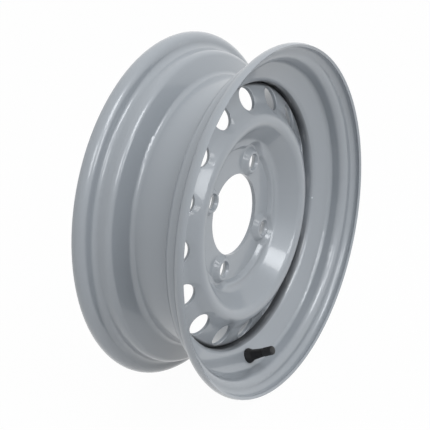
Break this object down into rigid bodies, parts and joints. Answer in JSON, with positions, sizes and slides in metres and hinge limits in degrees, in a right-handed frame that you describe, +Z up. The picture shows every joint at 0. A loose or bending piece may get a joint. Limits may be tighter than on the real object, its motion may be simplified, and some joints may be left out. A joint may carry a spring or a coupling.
{
  "type": "trailer wheel rim",
  "caption": "Pressed steel wheel rim with a drop centre, a vented disc, coned bolt seats and a snap-in tyre valve.",
  "frame": {"origin": "on the axle, midway between the two rim flanges", "axes": "+Y along the axle towards the vehicle side, so the open outboard face looks along -Y; +Z up"},
  "size_m": [0.362, 0.1258, 0.362],
  "materials": {
    "silver_paint": "semi-gloss silver grey wheel paint",
    "valve_black": "matte black moulded rubber",
    "valve_brass": "bare turned brass",
    "spring_steel": "drawn spring wire",
    "cap_black": "fine matte black plastic",
    "seal_white": "smooth white sealing plastic"
  },
  "bodies": {
    "wheel": {"rim_barrel": "silver_paint", "wheel_disc": "silver_paint", "disc_welds": "silver_paint", "valve_rubber": "valve_black", "valve_stem": "valve_brass", "core_body": "valve_brass", "core_gasket": "seal_white", "core_spring": "spring_steel"},
    "pin": {"core_pin": "valve_brass", "core_seal": "valve_black"},
    "cap": {"valve_cap": "cap_black", "cap_seal": "valve_black"}
  },
  "joints": [
    {"name": "cap_unscrew", "type": "slide", "parent": "wheel", "child": "cap", "axis": [0.0206, -0.9063, 0.4221], "range_m": [0, 0.014]},
    {"name": "pin_press", "type": "slide", "parent": "wheel", "child": "pin", "axis": [-0.0206, 0.9063, -0.4221], "range_m": [0, 0.0012], "stiffness_N_per_m": 600, "springref_m": -0.0012, "deforming": ["core_spring"]}
  ]
}
